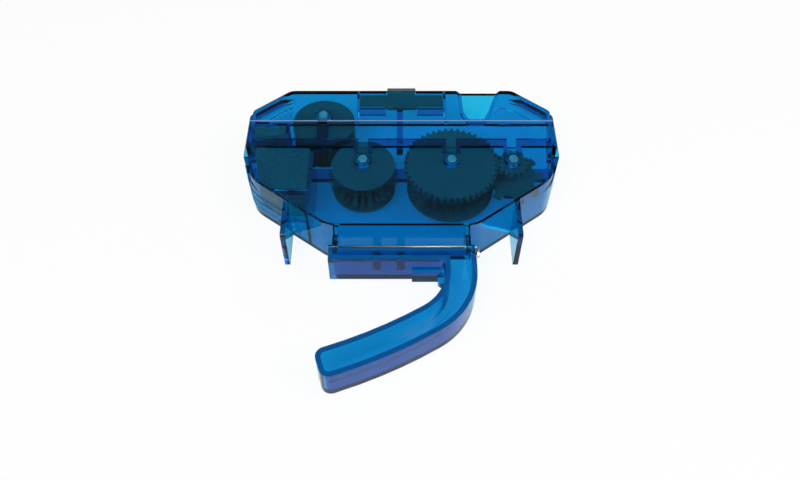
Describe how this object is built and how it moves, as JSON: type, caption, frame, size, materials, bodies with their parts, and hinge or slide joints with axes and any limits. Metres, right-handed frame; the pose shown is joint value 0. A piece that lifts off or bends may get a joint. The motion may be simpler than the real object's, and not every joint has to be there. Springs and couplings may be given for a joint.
{
  "type": "bicycle chain cleaner",
  "caption": "Hand-held bicycle chain cleaner: clear tub and lift-off lid with brush wheels, driven sprocket, sponges, push latch and folding grip handle.",
  "frame": {"origin": "on the tub's flat back face, mid-width, level with the three lower axles", "axes": "+X along the chain to the sprocket's side, +Y to the lid's top, +Z out of the front face; the part lies on its back"},
  "size_m": [0.197, 0.2069, 0.035],
  "materials": {
    "blue_clear": "clear tinted, polished moulding",
    "blue_handle": "clear tinted, polished moulding",
    "blue_pin": "clear tinted, polished moulding",
    "black_plastic": "fine moulded",
    "nylon_bristle": "extruded strands",
    "sponge_foam": "open-cell foam",
    "spring_wire": "drawn wire"
  },
  "bodies": {
    "case": {"tub": "blue_clear", "lower_sponge": "sponge_foam", "hinge_wire": "spring_wire"},
    "lid": {"lid": "blue_clear", "upper_sponge": "sponge_foam"},
    "latch": {"latch": "black_plastic"},
    "brush1": {"brush1_axle": "blue_pin", "brush1_hub": "black_plastic", "brush1_front_disc": "black_plastic", "brush1_rear_disc": "black_plastic", "brush1_front_bristles": "nylon_bristle", "brush1_middle_bristles": "nylon_bristle", "brush1_rear_bristles": "nylon_bristle"},
    "brush2": {"brush2_axle": "blue_pin", "brush2_hub": "black_plastic", "brush2_gear": "black_plastic", "brush2_rear_disc": "black_plastic", "brush2_front_bristles": "nylon_bristle", "brush2_rear_bristles": "nylon_bristle"},
    "brush3": {"brush3_axle": "blue_pin", "brush3_hub": "black_plastic", "brush3_front_disc": "black_plastic", "brush3_rear_disc": "black_plastic", "brush3_front_bristles": "nylon_bristle", "brush3_middle_bristles": "nylon_bristle", "brush3_rear_bristles": "nylon_bristle"},
    "sprocket": {"sprocket_axle": "blue_pin", "sprocket": "black_plastic", "pinion": "black_plastic", "front_spacer": "black_plastic", "rear_spacer": "black_plastic"},
    "handle": {"handle": "blue_handle"}
  },
  "joints": [
    {"name": "lid_lift", "type": "slide", "parent": "case", "child": "lid", "axis": [0, 1, 0], "range_m": [0, 0.075]},
    {"name": "latch_press", "type": "slide", "parent": "lid", "child": "latch", "axis": [0, 0, -1], "range_m": [0, 0.0025], "stiffness_N_per_m": 800, "springref_m": -0.0005},
    {"name": "brush1_spin", "type": "hinge", "parent": "case", "child": "brush1", "pos_m": [-0.0236, 0, 0.017], "axis": [0, 0, 1], "continuous": true},
    {"name": "sprocket_spin", "type": "hinge", "parent": "case", "child": "sprocket", "pos_m": [0.0681, 0, 0.017], "axis": [0, 0, 1], "continuous": true},
    {"name": "brush2_spin", "type": "hinge", "parent": "case", "child": "brush2", "pos_m": [0.0306, 0, 0.017], "axis": [0, 0, 1], "continuous": true},
    {"name": "brush3_spin", "type": "hinge", "parent": "lid", "child": "brush3", "pos_m": [-0.0496, 0.0373, 0.017], "axis": [0, 0, 1], "continuous": true},
    {"name": "handle_fold", "type": "hinge", "parent": "case", "child": "handle", "pos_m": [0, -0.0589, 0.025], "axis": [-1, 0, 0], "range_deg": [0, 90]}
  ],
  "couplings": [
    {"joint": "sprocket_spin", "follows": "brush2_spin", "ratio": -3}
  ]
}
